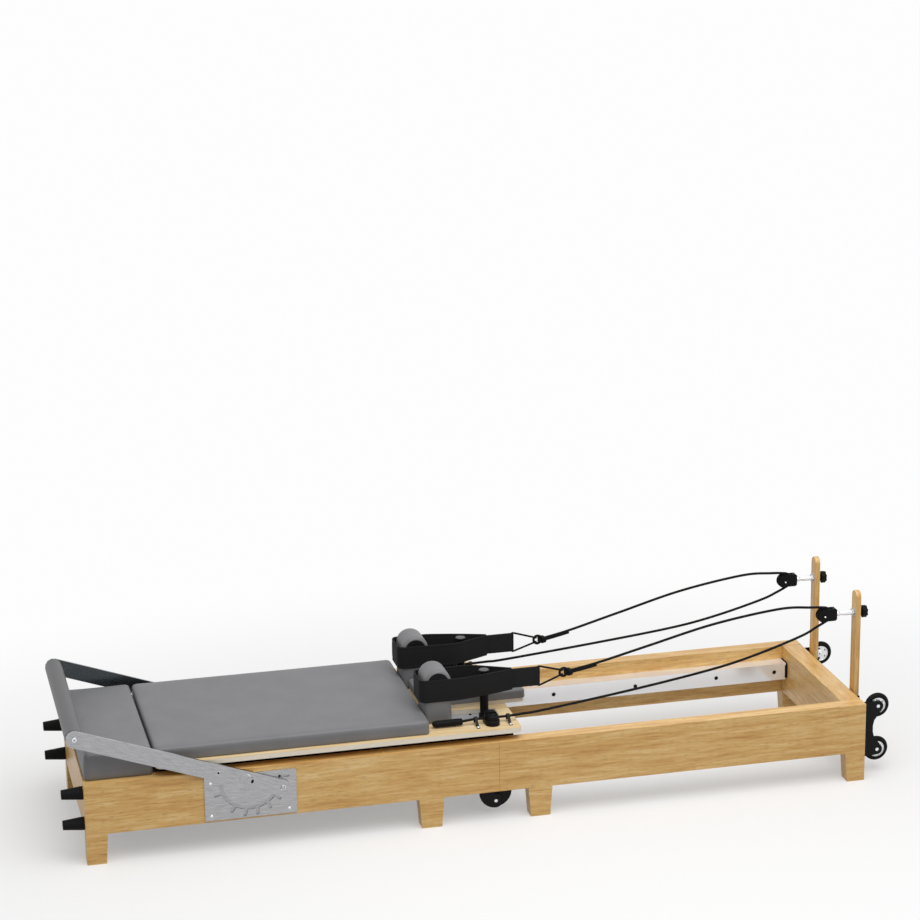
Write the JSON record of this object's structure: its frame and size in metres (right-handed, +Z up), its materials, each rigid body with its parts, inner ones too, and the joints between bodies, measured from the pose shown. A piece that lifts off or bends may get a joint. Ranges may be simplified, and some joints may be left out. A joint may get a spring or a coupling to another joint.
{
  "type": "folding pilates reformer",
  "caption": "Oak pilates reformer that folds in half: rolling padded carriage, springs, swinging footbar, headrest, shoulder rests, rope pulleys on risers and transport wheels.",
  "frame": {"origin": "on the floor under the middle of the whole object, unfolded", "axes": "+X towards the head end with the pulleys, +Z up, -Y the near side"},
  "size_m": [2.594, 0.6482, 0.583],
  "materials": {
    "oak": "clear satin lacquer on light oak",
    "plywood": "lacquered birch plywood with pale edges",
    "grey_leather": "fine-grained grey synthetic leather",
    "aluminium": "polished",
    "brushed_steel": "brushed lengthwise",
    "black_metal": "satin black powder coat",
    "black_plastic": "moulded, matt",
    "grey_grip": "smooth silver-grey foam grip",
    "spring_wire": "plain spring wire",
    "black_webbing": "padded black band and webbing",
    "black_rope": "braided black cord",
    "tyre": "black tread on a white hub"
  },
  "bodies": {
    "foot_frame": {"foot_rail_near": "oak", "foot_rail_far": "oak", "foot_end_board": "oak", "foot_track_near": "aluminium", "foot_track_far": "aluminium", "folding_hinge": "black_metal", "spring_peg_bar": "black_metal", "footbar_plate_near": "brushed_steel", "footbar_plate_far": "brushed_steel"},
    "head_frame": {"head_rail_near": "oak", "head_rail_far": "oak", "head_end_board": "oak", "head_track_near": "aluminium", "head_track_far": "aluminium", "head_hinge_leaf_near": "black_metal", "head_hinge_leaf_far": "black_metal", "riser_near": "oak", "riser_far": "oak", "wheel_bracket_near": "black_metal", "wheel_bracket_far": "black_metal", "rope_near": "black_rope", "rope_far": "black_rope"},
    "footbar": {"footbar_arm_near": "brushed_steel", "footbar_arm_far": "brushed_steel", "footbar_grip": "grey_grip"},
    "platform": {"platform_pad": "grey_leather"},
    "carriage": {"carriage_board": "plywood", "carriage_pad": "grey_leather", "carriage_underframe": "black_metal", "shoulder_rest_near": "grey_leather", "shoulder_rest_far": "grey_leather", "strap_post_near": "black_metal", "strap_post_far": "black_metal", "rope_cleat_near": "black_plastic", "rope_cleat_far": "black_plastic", "spring_1": "spring_wire", "spring_2": "spring_wire", "spring_3": "spring_wire", "spring_4": "spring_wire", "spring_5": "spring_wire", "strap_near": "black_webbing", "strap_far": "black_webbing"},
    "headrest": {"headrest_board": "plywood", "headrest_pad": "grey_leather"},
    "load_wheel_foot_near": {"load_wheel_foot_near": "black_plastic"},
    "load_wheel_head_near": {"load_wheel_head_near": "black_plastic"},
    "guide_roller_near": {"guide_roller_near": "black_plastic"},
    "pulley_fork_near": {"pulley_fork_near": "black_plastic"},
    "pulley_sheave_near": {"pulley_sheave_near": "black_plastic"},
    "riser_knob_near": {"riser_knob_near": "black_plastic"},
    "transport_wheel_lower_near": {"transport_wheel_lower_near": "tyre"},
    "transport_wheel_upper_near": {"transport_wheel_upper_near": "tyre"},
    "load_wheel_foot_far": {"load_wheel_foot_far": "black_plastic"},
    "load_wheel_head_far": {"load_wheel_head_far": "black_plastic"},
    "guide_roller_far": {"guide_roller_far": "black_plastic"},
    "pulley_fork_far": {"pulley_fork_far": "black_plastic"},
    "pulley_sheave_far": {"pulley_sheave_far": "black_plastic"},
    "riser_knob_far": {"riser_knob_far": "black_plastic"},
    "transport_wheel_lower_far": {"transport_wheel_lower_far": "tyre"},
    "transport_wheel_upper_far": {"transport_wheel_upper_far": "tyre"}
  },
  "joints": [
    {"name": "frame_fold", "type": "hinge", "parent": "foot_frame", "child": "head_frame", "pos_m": [0.016, 0, 0.0444], "axis": [0, 1, 0], "range_deg": [0, 180]},
    {"name": "carriage_slide", "type": "slide", "parent": "foot_frame", "child": "carriage", "axis": [1, 0, 0], "range_m": [0, 0.78], "deforming": ["rope_near", "rope_far"]},
    {"name": "footbar_swing", "type": "hinge", "parent": "foot_frame", "child": "footbar", "pos_m": [-0.7457, 0, 0.2191], "axis": [0, 1, 0], "range_deg": [0, 134]},
    {"name": "platform_lift", "type": "slide", "parent": "foot_frame", "child": "platform", "axis": [0, 0, 1], "range_m": [0, 0.05]},
    {"name": "headrest_tilt", "type": "hinge", "parent": "carriage", "child": "headrest", "pos_m": [-0.171, 0, 0.2908], "axis": [0, -1, 0], "range_deg": [0, 20]},
    {"name": "load_wheel_foot_near_spin", "type": "hinge", "parent": "carriage", "child": "load_wheel_foot_near", "pos_m": [-0.974, -0.2398, 0.2348], "axis": [0, 1, 0], "range_deg": [0, 1790]},
    {"name": "load_wheel_head_near_spin", "type": "hinge", "parent": "carriage", "child": "load_wheel_head_near", "pos_m": [0.049, -0.2398, 0.2348], "axis": [0, 1, 0], "range_deg": [0, 1790]},
    {"name": "guide_roller_near_spin", "type": "hinge", "parent": "carriage", "child": "guide_roller_near", "pos_m": [0.064, -0.1919, 0.193], "axis": [0, 0, 1], "range_deg": [-2035, 0]},
    {"name": "pulley_swivel_near", "type": "hinge", "parent": "head_frame", "child": "pulley_fork_near", "pos_m": [1.1525, -0.177, 0.512], "axis": [1, 0, 0], "range_deg": [-90, 90]},
    {"name": "sheave_spin_near", "type": "hinge", "parent": "pulley_fork_near", "child": "pulley_sheave_near", "pos_m": [1.099, -0.177, 0.512], "axis": [0, 1, 0], "continuous": true},
    {"name": "knob_turn_near", "type": "hinge", "parent": "head_frame", "child": "riser_knob_near", "pos_m": [1.2123, -0.177, 0.512], "axis": [1, 0, 0], "continuous": true},
    {"name": "transport_wheel_lower_near_spin", "type": "hinge", "parent": "head_frame", "child": "transport_wheel_lower_near", "pos_m": [1.257, -0.2475, 0.077], "axis": [0, 1, 0], "continuous": true},
    {"name": "transport_wheel_upper_near_spin", "type": "hinge", "parent": "head_frame", "child": "transport_wheel_upper_near", "pos_m": [1.257, -0.2475, 0.222], "axis": [0, 1, 0], "continuous": true},
    {"name": "load_wheel_foot_far_spin", "type": "hinge", "parent": "carriage", "child": "load_wheel_foot_far", "pos_m": [-0.974, 0.2398, 0.2348], "axis": [0, 1, 0], "range_deg": [0, 1790]},
    {"name": "load_wheel_head_far_spin", "type": "hinge", "parent": "carriage", "child": "load_wheel_head_far", "pos_m": [0.049, 0.2398, 0.2348], "axis": [0, 1, 0], "range_deg": [0, 1790]},
    {"name": "guide_roller_far_spin", "type": "hinge", "parent": "carriage", "child": "guide_roller_far", "pos_m": [0.064, 0.1919, 0.193], "axis": [0, 0, 1], "range_deg": [0, 2035]},
    {"name": "pulley_swivel_far", "type": "hinge", "parent": "head_frame", "child": "pulley_fork_far", "pos_m": [1.1525, 0.177, 0.512], "axis": [1, 0, 0], "range_deg": [-90, 90]},
    {"name": "sheave_spin_far", "type": "hinge", "parent": "pulley_fork_far", "child": "pulley_sheave_far", "pos_m": [1.099, 0.177, 0.512], "axis": [0, 1, 0], "continuous": true},
    {"name": "knob_turn_far", "type": "hinge", "parent": "head_frame", "child": "riser_knob_far", "pos_m": [1.2123, 0.177, 0.512], "axis": [1, 0, 0], "continuous": true},
    {"name": "transport_wheel_lower_far_spin", "type": "hinge", "parent": "head_frame", "child": "transport_wheel_lower_far", "pos_m": [1.257, 0.2475, 0.077], "axis": [0, 1, 0], "continuous": true},
    {"name": "transport_wheel_upper_far_spin", "type": "hinge", "parent": "head_frame", "child": "transport_wheel_upper_far", "pos_m": [1.257, 0.2475, 0.222], "axis": [0, 1, 0], "continuous": true}
  ],
  "couplings": [
    {"joint": "load_wheel_foot_near_spin", "follows": "carriage_slide", "rad_per_m": 40},
    {"joint": "load_wheel_head_near_spin", "follows": "carriage_slide", "rad_per_m": 40},
    {"joint": "guide_roller_near_spin", "follows": "carriage_slide", "rad_per_m": -45.455},
    {"joint": "load_wheel_foot_far_spin", "follows": "carriage_slide", "rad_per_m": 40},
    {"joint": "load_wheel_head_far_spin", "follows": "carriage_slide", "rad_per_m": 40},
    {"joint": "guide_roller_far_spin", "follows": "carriage_slide", "rad_per_m": 45.455}
  ]
}
